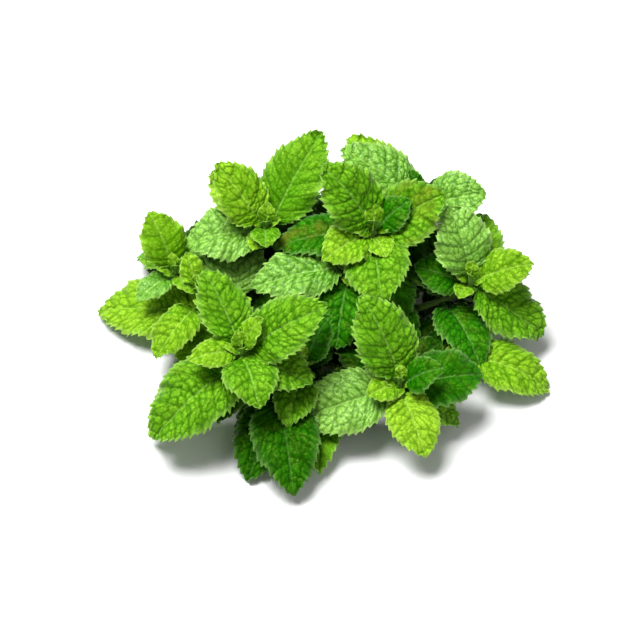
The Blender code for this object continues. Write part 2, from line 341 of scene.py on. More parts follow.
def leaf_rows(length, width, grid, sweep):
    """Lines across the leaf, from foot to tip: x on the midrib, x on the margin and half the width of each.

    The blade's lines are evenly spaced along the margin, whose length comes last. On the midrib each one
    starts further back than it ends, as the side veins sweep forward: by sweep * 4 u (1 - u) of the blade's
    length. The stalk's lines come first."""
    foot = STALK_SHARE * length
    reach = length - foot
    fine = 0.5 - 0.5 * np.cos(np.linspace(0, math.pi, 400))
    margin = np.hypot(np.diff(foot + reach * fine), np.diff(outline(fine, width)))
    margin = np.concatenate([[0], np.cumsum(margin)])
    rows = max(16, int(margin[-1] / grid))
    u = np.interp(np.linspace(0, margin[-1], rows), margin, fine)
    slim = min(STALK_HALF_MM, 0.04 * length)
    stalk = np.linspace(-ROOT_MM, foot, STALK_ROWS + 1)[:-1]
    x_rib = np.concatenate([stalk, foot + reach * (u - sweep * 4 * u * (1 - u))])
    x_edge = np.concatenate([stalk, foot + reach * u])
    closing = slim * (1 - 0.7 * smoothstep(0.5, 1, u))
    half = np.concatenate([np.full(STALK_ROWS, slim), np.maximum(outline(u, width), closing)])
    return x_rib, x_edge, half, margin[-1]


def tooth_height(phase):
    """A saw edge: each tooth rises slowly towards the leaf's tip and falls back over its last fifth."""
    p = phase - np.floor(phase)
    rise = np.where(p < TOOTH_TOP, (p / TOOTH_TOP) ** 1.6, (1 - p) / (1 - TOOTH_TOP))
    size = 1 + TOOTH_SPREAD * (scatter(np.floor(phase), np.zeros_like(phase), 5) - 0.5)
    return (rise - 0.4) * size


class Leaf:
    """The shape of one leaf in its own frame, in millimetres: foot at the origin, tip along +X, face up +Z.

    Its arrays hold a value for each point of a grid: lines across the leaf, from foot to tip, and the points
    of each line, from one margin over the midrib to the other. along runs from 0 at the foot of the blade to
    1 at its tip, t from -1 to 1 across the leaf, and blade from 0 on the stalk to 1 on the blade."""

    def __init__(self, size, style, props, rng):
        self.length, self.width, self.arch = size
        self.style, self.props, self.rng = style, props, rng
        self.lay_lines()
        self.cut_teeth()
        self.place_veins_and_cells()
        self.raise_relief()
        self.bend()

    def lay_lines(self):
        """The flat leaf, still without teeth.

        From the midrib to the margin, x = x on the midrib + (x on the margin - x on the midrib) * |t| to the
        1.3, and y = half width * t."""
        grid = self.style.grid * self.props.grid / MM
        x_rib, x_edge, half, self.margin = leaf_rows(self.length, self.width, grid, self.props.vein_sweep)
        blade_rows = len(half) - STALK_ROWS
        self.along = np.concatenate([np.zeros(STALK_ROWS), np.linspace(0, 1, blade_rows)])[:, None]
        self.x_edge, self.half = x_edge[:, None], half[:, None]
        columns = max(6, int(0.5 * self.width / grid))
        self.t = np.linspace(-1, 1, 2 * columns + 1)[None, :]
        self.side, self.left = np.abs(self.t), self.t > 0
        self.blade = smoothstep(0.05 * self.length, 0.13 * self.length, self.x_edge)
        self.x = x_rib[:, None] + (x_edge - x_rib)[:, None] * self.side**1.3
        self.y = self.half * self.t

    def cut_teeth(self):
        """Push the margin out at each tooth and draw it in between, fading inwards as |t| to the 5.

        The push is square to the margin, leaning towards the tip. phase counts the teeth from the foot, half
        a tooth further on the left, with a slow random wander on each side."""
        rng, along = self.rng, self.along
        tooth_mm = self.props.tooth / MM * min(1, 0.45 + self.length / 60)
        count = max(6, round(self.margin / tooth_mm))
        wander = [0.16 * drift(along, rng, 3, 0.6) for _ in range(2)]
        self.phase = count * along + np.where(self.left, wander[0] + 0.5, wander[1]) + rng.random()
        depth = self.props.tooth_depth * min(self.length, DEEPEST_TOOTHED_MM)
        depth = depth * smoothstep(0.04, 0.16, along) * (1 - 0.5 * smoothstep(0.93, 1, along))
        self.teeth = tooth_height(self.phase) * depth * self.side**5
        slope_x, slope_y = np.gradient(self.x_edge, axis=0), np.gradient(self.half, axis=0)
        run = np.hypot(slope_x, slope_y) + 1e-9
        self.x = self.x + self.teeth * ((0.6 * slope_x - slope_y) / run)
        self.y = self.y + self.teeth * np.sign(self.t) * ((slope_x + 0.6 * slope_y) / run)

    def place_veins_and_cells(self):
        """How far each point is from the midrib and from a side vein, and where it lies on the quilting.

        Side veins are two teeth apart and end in a tooth's point. A pillow lies between each two, and is
        highest half way. A cell's dome is higher the nearer its own centre is than the next one."""
        rng, length = self.rng, self.length
        vein_phase = (self.phase - TOOTH_TOP) / 2
        off = np.abs(vein_phase - np.round(vein_phase))
        spacing = np.abs(np.gradient(self.x, axis=0) / (np.gradient(vein_phase, axis=0) + 1e-9))
        self.vein = off * spacing * 0.8
        self.rib = np.abs(self.y)
        cell_mm = self.props.quilt / MM * min(1, 0.25 + length / 50)
        seed = int(rng.integers(1, 10000))
        across = self.rib / cell_mm + 0.25 * drift(self.x / length, rng, 2, 0.5)
        row = 2 * vein_phase + np.where(self.left, 100, 0) + 0.12 * drift(self.rib / self.width, rng, 2, 0.3)
        nearest, second = cells(row, across, 0.95, seed)
        self.dome = 1 - (1 - np.clip((second - nearest) * 2.0, 0, 1)) ** 2.5
        self.pillow = 1 - (1 - np.clip(2 * off, 0, 1)) ** 2
        self.room = smoothstep(0.2, 1.2, spacing / cell_mm)

    def raise_relief(self):
        """Pillows and domes less the grooves over all veins, all flatter at the foot and on a small leaf."""
        style, side = self.style, self.side
        patch = 1 + 0.2 * drift(self.x / self.length + 0.3 * self.y / self.width, self.rng, 2, 0.8)
        strength = style.quilt * patch * self.blade * (0.45 + 0.55 * smoothstep(0.05, 0.3, self.along))
        self.strength = strength * (1 - 0.35 * side**8) * self.room
        small = min(1.0, 0.15 + self.length / 45)
        height_mm, groove_mm = self.props.quilt_height / MM * small, self.props.groove / MM * small
        side_groove = bell(self.vein, 0.4) * (1 - 0.6 * side**4) * min(1.1, style.quilt + 0.25)
        rib_groove = bell(self.rib, 0.6) * (1 - 0.6 * self.along)
        bumps = height_mm * self.strength * (0.4 * self.pillow + self.dome)
        self.relief = bumps - groove_mm * self.blade * (side_groove + 1.3 * rib_groove)

    def bend(self):
        """The bent leaf before its relief, for w = x over the length.

        The height is an arch, 4 * rise * w (1 - w), plus the fold times |y|, less the curl times y squared
        over half the width, with a ruffle that grows towards the margin, a tip that droops and teeth that
        lift or dip. The leaf also sways sideways by w squared."""
        length, style, rng = self.length, self.style, self.rng
        self.w = w = np.clip(self.x / length, 0, 1)
        lean = np.where(self.left, 1, -1) * rng.uniform(-0.1, 0.1)
        z = 4 * self.arch * length * w * (1 - w) + (style.fold + lean) * self.rib
        z = z - style.curl * self.rib**2 / (self.width / 2)
        waves = [drift(self.along, rng, 2, 0.4) + 0.4 * drift(self.along, rng, 2, 0.15) for _ in range(2)]
        ruffle = style.ruffle * rng.uniform(0.5, 1.5) * length * self.side**2.5 * self.blade
        z = z + ruffle * np.where(self.left, *waves)
        z = z - style.droop * length * rng.uniform(-0.3, 1.0) * smoothstep(0.55, 1.15, w)
        z = z + 0.6 * self.teeth * rng.uniform(-0.6, 0.9)
        y = self.y + length * rng.uniform(-0.06, 0.06) * w**2
        self.bent = np.stack([self.x, y, z], axis=-1)

    def thickness(self):
        """Thin between the veins, thicker under them and on the stalk, thinnest at the margin."""
        ribs = 0.55 * bell(self.rib, 0.5) * (1 - 0.75 * self.w) + 0.14 * bell(self.vein, 0.35)
        thick = self.props.blade / MM + ribs + 0.5 * (1 - self.blade)
        return thick * (1 - 0.4 * self.side**6) * min(1, 0.4 + self.length / 30)

    def masks(self):
        """Where the colours of the tissue go, from 0 to 1."""
        net = (1 - self.dome) ** 1.2 * min(1, self.style.quilt + 0.15) * self.room
        return {
            # vein: grooves over the veins and between the cells, partly the veins' own deeper green, partly
            # painted shade.
            "vein": np.clip(np.maximum(0.8 * bell(self.vein, 0.33), 0.9 * net), 0, 1) * self.blade,
            # crown: where the painted highlight on the tops of the cells goes.
            "crown": np.clip(self.dome**2 * (0.6 + 0.4 * self.pillow), 0, 1) * np.clip(self.strength, 0, 1),
            "midrib": bell(self.rib, 0.45) * (1 - 0.5 * self.w),
            "rim": self.side**15 * self.blade,
            "along": self.w,
        }


def leaf_shell(size, style, props, rng):
    """Points, faces, masks and UV of one closed leaf: its upper face, its under face and its rim.

    The upper face is the bent leaf with its relief added to z. The under face lies below it by the
    thickness, along the bent leaf's normals."""
    leaf = Leaf(size, style, props, rng)
    normal = unit(np.cross(np.gradient(leaf.bent, axis=0), np.gradient(leaf.bent, axis=1)))
    top = leaf.bent + np.array((0, 0, 1)) * leaf.relief[..., None]
    under = top - normal * leaf.thickness()[..., None]
    rows, columns = top.shape[:2]
    count = rows * columns
    points = np.concatenate([top.reshape(-1, 3), under.reshape(-1, 3)])
    over, below = grid_faces(rows, columns, 0), grid_faces(rows, columns, count)[:, ::-1]
    faces = [np.concatenate([over, below, rim_faces(rows, columns, count)])]
    masks = {name: np.tile(values.reshape(-1), 2) for name, values in leaf.masks().items()}
    masks["under"] = np.repeat((0.0, 1.0), count)
    for name, value in (("tint", rng.random()), ("flush", style.flush), ("shade", style.shade)):
        masks[name] = np.full(2 * count, value)
    uv = np.tile(top[..., :2].reshape(-1, 2) / UV_MM, (2, 1))
    return points, faces, masks, uv


def put(points, foot, along, up):
    """A leaf's points, in millimetres, turned into place and moved to its foot, in metres.

    What would come below a small height h bends to lie on the floor: z becomes h * e to the (z / h - 1)."""
    points = foot + points @ np.stack([along, np.cross(up, along), up]) * MM
    low = points[:, 2] < LAID_HEIGHT
    points[low, 2] = LAID_HEIGHT * np.exp(points[low, 2] / LAID_HEIGHT - 1)
    return points


# ---- places


def threes(rows, name, kind):
    """A value of each row of a mesh's data that has three parts, as an array."""
    values = np.empty(len(rows) * 3, kind)
    rows.foreach_get(name, values)
    return values.reshape(-1, 3)


def node_points(name):
    """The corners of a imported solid."""
    return threes(frame["nodes"][name].data.vertices, "co", np.float32).astype(np.float64)


def node_triangles(name):
    """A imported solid's triangles, as the indices of its corners."""
    mesh = frame["nodes"][name].data
    mesh.calc_loop_triangles()
    return threes(mesh.loop_triangles, "vertices", np.int32)


def read_leaf(name, stem_points):
    """Foot, direction, upper side and size of a packed leaf.

    A packed leaf is the same on both sides of its midrib, so the second axis of its spread runs across it.
    Its foot is the end nearer the stem."""
    points = node_points(name)
    middle = points.mean(axis=0)
    axes = np.linalg.svd(points - middle, full_matrices=False)[2]
    reach = (points - middle) @ axes[0]
    ends = [points[np.abs(reach - far) < 0.4 * MM].mean(axis=0) for far in (reach.min(), reach.max())]
    away = [np.linalg.norm(stem_points - end, axis=1).min() for end in ends]
    foot, tip = ends if away[0] < away[1] else ends[::-1]
    along = unit(tip - foot)
    across = unit(axes[1] - along * (axes[1] @ along))
    up = np.cross(along, across)
    if ((points - foot) @ up).mean() < 0:
        up = -up
    x, y, z = ((points - foot) @ axis / MM for axis in (along, across, up))
    arch = max(0.02, (z[np.abs(y) < 1.5].max() - LEAF_SOLID_MM / 2) / x.max())
    return foot, along, up, (x.max(), 2 * np.abs(y).max(), arch)


def stem_sway(y_mm):
    """How far the main stem bows sideways: one slow wave that is zero at y = 0."""
    return STEM_SWAY_MM * np.sin(math.pi * y_mm / (STEM_CUT_Y_MM - STEM_END_Y_MM))


def shoot_line(shoot, steps):
    """Points of a shoot's Bezier curve from inside the main stem to its growing tip, in millimetres."""
    way = np.array({"top": (0, 0, 1), "right": (1, 0, 0), "left": (-1, 0, 0)}[shoot.side])
    foot = np.array((stem_sway(shoot.foot_y), shoot.foot_y, STEM_WIDTH_MM / 2))
    crown = np.array(shoot.crown, float)
    out = foot + way * shoot.rise[0]
    back = crown - direction(*shoot.lean) * shoot.rise[1]
    t = np.linspace(0, 1, steps)[:, None]
    s = 1 - t
    return foot * s**3 + out * 3 * s * s * t + back * 3 * s * t * t + crown * t**3


def distance_below_tip(line):
    """How far along a line each of its points is from its end."""
    steps = np.linalg.norm(np.diff(line, axis=0), axis=1)
    return np.concatenate([np.cumsum(steps[::-1])[::-1], [0]])


def along_shoot(shoot, level):
    """Point and direction on a shoot, a distance in millimetres below its growing tip."""
    line = shoot_line(shoot, 400)
    at = max(1, int(np.argmin(np.abs(distance_below_tip(line) - level))))
    return line[at], unit(line[at] - line[at - 1])


def small_leaf_place(shoot, leaf):
    """Foot, direction and upper side of a leaf given by its heading, pitch, roll and level on its shoot."""
    point, axis = along_shoot(shoot, leaf.level)
    along = direction(leaf.heading, leaf.pitch)
    up = direction(leaf.heading, leaf.pitch + 90)
    roll = math.radians(leaf.roll)
    up = up * math.cos(roll) - np.cross(up, along) * math.sin(roll)
    outward = unit(along - axis * (along @ axis))
    return (point + outward * SHOOT_RADIUS_MM) * MM, along, up


# ---- stems


def tube_points(line, radius):
    """Rings carried, without twist, along a line of points that lies nearly in one plane.

    A ring is a rounded square, |cos| to a power plus |sin| to a power, to the -1 over that power, with
    slightly hollow sides."""
    tangent = unit(np.gradient(line, axis=0))
    chord = line[-1] - line[0]
    plane = np.cross(chord, line[len(line) // 2] - line[0])
    plane = plane if np.linalg.norm(plane) > 1e-3 else np.cross(chord, (0, 0, 1))
    across = unit(np.cross(tangent, unit(plane)))
    other = np.cross(tangent, across)
    turn = np.linspace(0, 2 * math.pi, STEM_AROUND, endpoint=False)
    cos, sin = np.cos(turn), np.sin(turn)
    section = (np.abs(cos) ** STEM_SQUARENESS + np.abs(sin) ** STEM_SQUARENESS) ** (-1 / STEM_SQUARENESS)
    section = section * (1 - 0.05 * np.cos(4 * turn) ** 3)
    ring = section[:, None, None] * (cos[:, None, None] * across[None] + sin[:, None, None] * other[None])
    points = line[None] + ring * radius[None, :, None]
    return points.transpose(1, 0, 2).reshape(-1, 3)


def stem_shell(line, radius, cut):
    """Points, faces, masks and UV of one closed stem. cut is 1 where its flesh shows."""
    points = tube_points(line, radius)
    rings = len(line)
    below = distance_below_tip(line)
    turn = np.tile(np.arange(STEM_AROUND) / STEM_AROUND, rings)
    masks = {"cut": np.repeat(cut, STEM_AROUND), "edge": 0.5 - 0.5 * np.cos(8 * math.pi * turn)}
    uv = np.stack([turn, np.repeat(below, STEM_AROUND) / UV_MM], axis=-1)
    return points * MM, tube_faces(rings, STEM_AROUND), masks, uv


def rounded_ends(radius, first, last):
    """The radii with both ends drawn in by shares, each listed from its end inwards."""
    shape = radius.copy()
    shape[: len(first)] *= first
    shape[-len(last) :] *= last[::-1]
    return shape


def shoot_shell(shoot, props):
    """A side shoot: flared at the main stem, thinner at its tip and swollen at its leaf pairs."""
    line = shoot_line(shoot, 90)
    below = distance_below_tip(line)
    length = below[0]
    radius = props.shoot / MM / 2 * (1 - 0.25 * smoothstep(0.6, 1, 1 - below / length))
    radius = radius * (1 + 0.5 * bell(length - below - 2, 3.0))
    for level in PAIR_LEVELS_MM:
        radius = radius * (1 + 0.16 * bell(below - level, 1.6))
    radius = rounded_ends(radius, (0.5,), (0.25, 0.7, 0.9))
    return stem_shell(line, radius, np.zeros(len(line)))


def main_stem_shell():
    """The main stem, with a clean cut at +Y, where it doesn't taper, and a rounded end at -Y."""
    y = np.concatenate([STEM_CUT_Y_MM - CUT_DEPTHS_MM, np.linspace(STEM_CUT_Y_MM - 0.4, STEM_END_Y_MM, 110)])
    half = STEM_WIDTH_MM / 2
    line = np.stack([stem_sway(y), y, np.full_like(y, half)], axis=-1)
    radius = rounded_ends(np.full(len(y), half), CUT_SHARES, (0.35, 0.7, 0.88, 0.96))
    cut = np.zeros(len(y))
    cut[: len(CUT_FLESH)] = CUT_FLESH
    return stem_shell(line, radius, cut)


# ---- materials


def fill(tree, node, given):
    """Link each input of a node to the output given for it, or set it to the value given for it."""
    for key, value in dict(given).items():
        if isinstance(value, bpy.types.NodeSocket):
            tree.links.new(value, node.inputs[key])
        else:
            node.inputs[key].default_value = value


def add_node(tree, kind, given=(), **settings):
    """A new node of a kind, with its settings and what its inputs are given."""
    node = tree.nodes.new(kind)
    for name, value in settings.items():
        setattr(node, name, value)
    fill(tree, node, given)
    return node


def maths(tree, operation, *values):
    """The result of an operation on outputs or numbers."""
    return add_node(tree, "ShaderNodeMath", enumerate(values), operation=operation).outputs[0]


def blend(tree, factor, first, second):
    """Two colours mixed by a factor, which counts as 0 below 0."""
    given = {0: factor, 6: first, 7: second}
    return add_node(tree, "ShaderNodeMix", given, data_type="RGBA").outputs[2]


def attribute(tree, name):
    """One of the piece's own masks."""
    return add_node(tree, "ShaderNodeAttribute", attribute_name=name).outputs["Fac"]


def stretch(tree, value, low, high):
    """0 where the value is low, 1 where it is high."""
    given = {"Value": value, "From Min": low, "From Max": high}
    return add_node(tree, "ShaderNodeMapRange", given).outputs[0]


def noise(tree, vector, scale, detail=3.0):
    """Soft noise from 0 to 1, around a half."""
    given = {"Vector": vector, "Scale": scale, "Detail": detail}
    return add_node(tree, "ShaderNodeTexNoise", given).outputs[0]


def bump(tree, height, strength, distance):
    """Normals bent by a height, distance in metres."""
    given = {"Height": height, "Strength": strength, "Distance": distance}
    return add_node(tree, "ShaderNodeBump", given).outputs[0]


def flat_place(tree):
    """The place on the flattened leaf, shifted by its own tint, so that no two leaves share a pattern."""
    where = add_node(tree, "ShaderNodeUVMap", uv_map="flat").outputs["UV"]
    shift = maths(tree, "MULTIPLY", attribute(tree, "tint"), 9.0)
    return add_node(tree, "ShaderNodeVectorMath", {0: where, 1: shift}, operation="ADD").outputs[0]


def new_group(name, inputs, outputs):
    """A node group with the named sockets: itself, what it is given and the node that takes its results."""
    group = bpy.data.node_groups.new(name, "ShaderNodeTree")
    for socket, kind in inputs.items():
        group.interface.new_socket(name=socket, in_out="INPUT", socket_type=f"NodeSocket{kind}")
    for socket, kind in outputs.items():
        group.interface.new_socket(name=socket, in_out="OUTPUT", socket_type=f"NodeSocket{kind}")
    return group, group.nodes.new("NodeGroupInput").outputs, group.nodes.new("NodeGroupOutput")


def fine_net_group():
    """The finest veins and the grain of the skin: a net mask, a grain mask and their height together."""
    group, _, result = new_group("Fine leaf net", {}, {"Net": "Float", "Grain": "Float", "Height": "Float"})
    place = flat_place(group)
    given = {"Vector": place, "Scale": 62}
    net = add_node(group, "ShaderNodeTexVoronoi", given, feature="DISTANCE_TO_EDGE")
    mesh = stretch(group, net.outputs["Distance"], 0.0, 0.2)
    grain = noise(group, place, 160)
    height = maths(group, "MULTIPLY_ADD", mesh, 0.6, maths(group, "MULTIPLY", grain, 0.5))
    fill(group, result, {"Net": mesh, "Grain": grain, "Height": height})
    return group


def tissue_group(fine_net):
    """Colour, roughness and fine height of leaf tissue, from the leaf's own masks and seven colours.

    The blade's colour is mixed with the colour of each layer in turn. shade lays painted light, a mix with the
    crown's colour, where it is below 0, and painted shade, a mix with black, where it is above."""
    colours = ("Blade", "Groove", "Crown", "Rim", "Under", "Midrib", "Tinge")
    inputs = {name: "Color" for name in colours}
    inputs["Skin roughness"] = "Float"
    outputs = {"Colour": "Color", "Roughness": "Float", "Height": "Float"}
    group, given, result = new_group("Mint leaf tissue", inputs, outputs)
    fine = add_node(group, "ShaderNodeGroup", node_tree=fine_net).outputs
    place = flat_place(group)

    def mask(name):
        return attribute(group, name)

    def times(value, share):
        return maths(group, "MULTIPLY", value, share)

    def patches(scale, low, high):
        return stretch(group, noise(group, place, scale), low, high)

    lines = maths(group, "SUBTRACT", 1.0, fine["Net"])
    layers = (
        # Painted highlight on the tops of the quilted cells.
        ("Crown", times(mask("crown"), maths(group, "MULTIPLY_ADD", fine["Net"], 0.25, 0.5))),
        ("Crown", times(patches(6, 0.38, 0.68), 0.25)),
        ("Groove", times(patches(11, 0.62, 0.38), 0.2)),
        # Painted light: lighter towards the tip, where drooping tips face the light, and plain blade colour at
        # the foot.
        ("Crown", times(stretch(group, mask("along"), 0.3, 0.9), 0.3)),
        ("Blade", times(stretch(group, mask("along"), 0.35, 0.0), 0.5)),
        # Painted light: a leaf whose shade is below 0 moves towards its cells' lighter colour.
        ("Crown", times(mask("shade"), -0.7)),
        # Grooves and the fine net's lines: partly the veins' own deeper green, partly painted shade in the
        # creases.
        ("Groove", times(mask("vein"), 0.9)),
        ("Groove", times(lines, 0.38)),
        ("Midrib", times(mask("midrib"), 0.6)),
        ("Tinge", times(patches(9, 0.5, 0.7), times(mask("flush"), 0.7))),
        # The pale rim: partly the teeth's own paler colour, partly painted light through the thin margin.
        ("Rim", times(mask("rim"), 0.9)),
        ("Under", times(mask("under"), 0.7)),
    )
    colour = given["Blade"]
    for name, factor in layers:
        colour = blend(group, factor, colour, given[name])
    # Painted shade: a leaf whose shade is above 0 moves towards black.
    colour = blend(group, times(mask("shade"), 0.62), colour, (0, 0, 0, 1))
    roughness = maths(group, "MULTIPLY_ADD", fine["Grain"], 0.16, given["Skin roughness"])
    fill(group, result, {"Colour": colour, "Roughness": roughness, "Height": fine["Height"]})
    return group


def mixed(colour, factor=0.0, other=(0, 0, 0)):
    """A colour moved by a factor towards another one, with an alpha of 1."""
    return (*(a + (b - a) * factor for a, b in zip(colour, other)), 1)


def new_material(name):
    """A material, its node tree and its Principled shader."""
    material = bpy.data.materials.new(name)
    material.use_nodes = True
    return material, material.node_tree, material.node_tree.nodes["Principled BSDF"]


def leaf_material(tone, colours, tissue):
    """A waxy, slightly see-through leaf: a Principled shader mixed with a Translucent one."""
    material, tree, shader = new_material(f"mint_leaf_{tone}")
    blade, crown = getattr(colours, f"{tone}_blade"), getattr(colours, f"{tone}_crown")
    groove_depth = colours.young_groove_depth if tone == "young" else colours.groove_depth
    given = {
        "Blade": mixed(blade),
        "Groove": mixed(blade, groove_depth, colours.groove),
        "Crown": mixed(crown),
        "Rim": mixed(crown, 0.35, colours.rim),
        "Under": mixed(blade, 0.5, colours.under),
        "Midrib": mixed(crown, 0.3, colours.rim),
        "Tinge": mixed(blade, 0.6, colours.tinge),
        "Skin roughness": colours.roughness,
    }
    result = add_node(tree, "ShaderNodeGroup", given, node_tree=tissue).outputs
    skin = {
        "Base Color": result["Colour"],
        "Roughness": result["Roughness"],
        "Normal": bump(tree, result["Height"], 0.6, 0.3 * MM),
        "Specular IOR Level": {"pale": colours.bloom, "dark": colours.dark_gloss}.get(tone, colours.gloss),
        "Specular Tint": mixed(colours.bloom_tint if tone == "pale" else colours.gloss_tint),
    }
    fill(tree, shader, skin)
    glow = blend(tree, 0.6, result["Colour"], mixed(colours.glow))
    through = add_node(tree, "ShaderNodeBsdfTranslucent", {"Color": glow})
    given = {0: colours.translucency, 1: shader.outputs[0], 2: through.outputs[0]}
    mix = add_node(tree, "ShaderNodeMixShader", given)
    fill(tree, tree.nodes["Material Output"], {"Surface": mix.outputs[0]})
    return material


def stem_material(colours):
    """Fresh green stem: paler along its four ribs, flushed in patches, finely streaked, pale where cut."""
    material, tree, shader = new_material("mint_stem")
    where = add_node(tree, "ShaderNodeUVMap", uv_map="flat").outputs["UV"]
    mapping = add_node(tree, "ShaderNodeMapping", {"Vector": where, "Scale": (26, 3, 1)})
    streaks = noise(tree, mapping.outputs[0], 1.0, 4.0)
    place = add_node(tree, "ShaderNodeTexCoord").outputs["Object"]
    flush = maths(tree, "MULTIPLY", stretch(tree, noise(tree, place, 55), 0.52, 0.72), 0.5)
    ribs = maths(tree, "MULTIPLY", attribute(tree, "edge"), 0.35)
    colour = blend(tree, stretch(tree, streaks, 0.35, 0.65), mixed(colours.stem, 0.25), mixed(colours.stem))
    colour = blend(tree, flush, colour, mixed(colours.stem_flush))
    colour = blend(tree, ribs, colour, mixed(colours.rim, 0.4))
    colour = blend(tree, attribute(tree, "cut"), colour, mixed(colours.rim, 0.35))
    roughness, normal = maths(tree, "MULTIPLY_ADD", streaks, 0.2, 0.35), bump(tree, streaks, 0.3, 0.1 * MM)
    fill(tree, shader, {"Base Color": colour, "Roughness": roughness, "Normal": normal})
    return material


# ---- settings


def number_prop(label, default, text, **kind):
    """A number that a user may change, at least 0."""
    return bpy.props.FloatProperty(name=label, description=text, default=default, min=0.0, **kind)


def size_prop(label, default_mm, text):
    """A length, given in millimetres and kept in metres."""
    return number_prop(label, default_mm * MM, text, unit="LENGTH", precision=5)


def share_prop(label, default, text):
    """A share from 0 to 1."""
    return number_prop(label, default, text, max=1.0, subtype="FACTOR")


def colour_prop(label, default, text):
    """A colour, in linear light."""
    return bpy.props.FloatVectorProperty(
        name=label, description=text, default=default, size=3, subtype="COLOR", min=0.0, max=1.0
    )


class MintLeafSettings(bpy.types.PropertyGroup):
    """Mesh and relief of the leaves."""

    grid: size_prop("Mesh cell", 0.52, "Side of one cell of a leaf's mesh")
    blade: size_prop("Blade", 0.34, "Thickness of a leaf between its veins")
    tooth: size_prop("Tooth", 3.4, "Length of one tooth along the margin")
    tooth_depth: share_prop("Tooth depth", 0.036, "Depth of a tooth over the leaf's length")
    quilt: size_prop("Cell", 3.3, "Size of one quilted cell")
    quilt_height: size_prop("Cell height", 0.66, "Height of the quilting")
    groove: size_prop("Groove", 0.4, "Depth of the grooves over the veins")
    vein_sweep: share_prop("Vein sweep", 0.2, "How far side veins sweep forward over the leaf's length")


class MintStemSettings(bpy.types.PropertyGroup):
    """Sizes of the stems."""

    shoot: size_prop("Shoot", 2.3, "Thickness of a side shoot")


class MintColours(bpy.types.PropertyGroup):
    """Colours and gloss of the sprig."""

    # Each tone's cell colour is lighter than its blade's: a painted highlight on the tops of the quilted
    # cells.
    mid_blade: colour_prop("Full-grown leaf", (0.062, 0.31, 0.0), "Blade of a full-grown leaf")
    mid_crown: colour_prop("Full-grown cells", (0.26, 0.61, 0.025), "Tops of a full-grown leaf's cells")
    # The shaded tone is painted shade: a darker copy of the full-grown leaf's colours, for leaves that lie in
    # shade.
    dark_blade: colour_prop("Shaded leaf", (0.006, 0.14, 0.0), "Blade of a shaded leaf")
    dark_crown: colour_prop("Shaded cells", (0.045, 0.31, 0.004), "Tops of a shaded leaf's cells")
    # The bloomed tone is painted sheen: a paler copy of the full-grown leaf's colours, for leaves that catch
    # the light.
    pale_blade: colour_prop("Bloomed leaf", (0.11, 0.42, 0.004), "Blade of a leaf with a pale bloom")
    pale_crown: colour_prop("Bloomed cells", (0.40, 0.77, 0.12), "Tops of a bloomed leaf's cells")
    young_blade: colour_prop("Young leaf", (0.13, 0.42, 0.002), "Blade of a young leaf")
    young_crown: colour_prop("Young cells", (0.43, 0.75, 0.04), "Tops of a young leaf's cells")
    # On a leaf's margin the rim's pale colour is partly the teeth's own, partly painted light through the
    # edge.
    rim: colour_prop("Rim", (0.50, 0.68, 0.26), "Thin, pale margin of the teeth")
    under: colour_prop("Under face", (0.30, 0.50, 0.16), "Paler under face")
    tinge: colour_prop("Tinge", (0.22, 0.14, 0.02), "Reddish tinge in spots")
    glow: colour_prop("Glow", (0.45, 0.75, 0.04), "Light that comes through a leaf")
    stem: colour_prop("Stem", (0.17, 0.36, 0.035), "Fresh green stem")
    stem_flush: colour_prop("Stem flush", (0.16, 0.09, 0.04), "Reddish flush of the stem")
    # The grooves' deep green is partly the veins' own colour and partly painted shade in the creases.
    groove: colour_prop("Grooves", (0.0, 0.035, 0.0), "Deep green of the grooves over the veins")
    groove_depth: share_prop("Groove shade", 0.8, "How much darker the grooves are")
    young_groove_depth: share_prop("Young groove shade", 0.6, "How much darker a young leaf's grooves are")
    roughness: share_prop("Roughness", 0.26, "Roughness of the waxy skin")
    gloss: share_prop("Gloss", 0.36, "Specular level of the skin")
    # Painted shade: a shaded leaf's gloss is lower, so that it stays dark.
    dark_gloss: share_prop("Shaded gloss", 0.25, "Specular level of a shaded leaf")
    gloss_tint: colour_prop("Gloss tint", (0.75, 1.0, 0.1), "Tint of the skin's gloss")
    bloom_tint: colour_prop("Bloom tint", (0.8, 1.0, 0.55), "Tint of the gloss of a leaf with a pale bloom")
    bloom: share_prop("Bloom", 0.55, "Specular level of a leaf with a pale bloom")
    translucency: share_prop("Translucency", 0.18, "Share of light that passes through a leaf")


class MintStageSettings(bpy.types.PropertyGroup):
    """Lights and camera."""

    elevation: number_prop("Elevation", math.radians(50), "Camera above the horizon", subtype="ANGLE")
    distance: number_prop("Distance", 1.6, "Camera from the sprig", unit="LENGTH")
    width: number_prop("Width", 0.288, "Width that the camera sees", unit="LENGTH")
    key: number_prop("Key light", 40, "Power of the main light", unit="POWER")
    sky: number_prop("Sky", 0.22, "Strength of the even light all round")


# ---- operators


def tones():
    """The four leaf materials by tone, made once."""
    names = ("mid", "dark", "pale", "young")
    if f"mint_leaf_{names[0]}" not in bpy.data.materials:
        tissue = tissue_group(fine_net_group())
        for tone in names:
            leaf_material(tone, bpy.context.scene.mint_colours, tissue)
    return {tone: bpy.data.materials[f"mint_leaf_{tone}"] for tone in names}


def dress(obj, material, slot):
    """Give a finished piece its material and its body. slot is not used."""
    obj.data.materials.append(material)
    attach(obj, "root")


def seeded(name):
    """A random generator of the piece's own, the same in each run."""
    return np.random.default_rng([ord(letter) for letter in name])


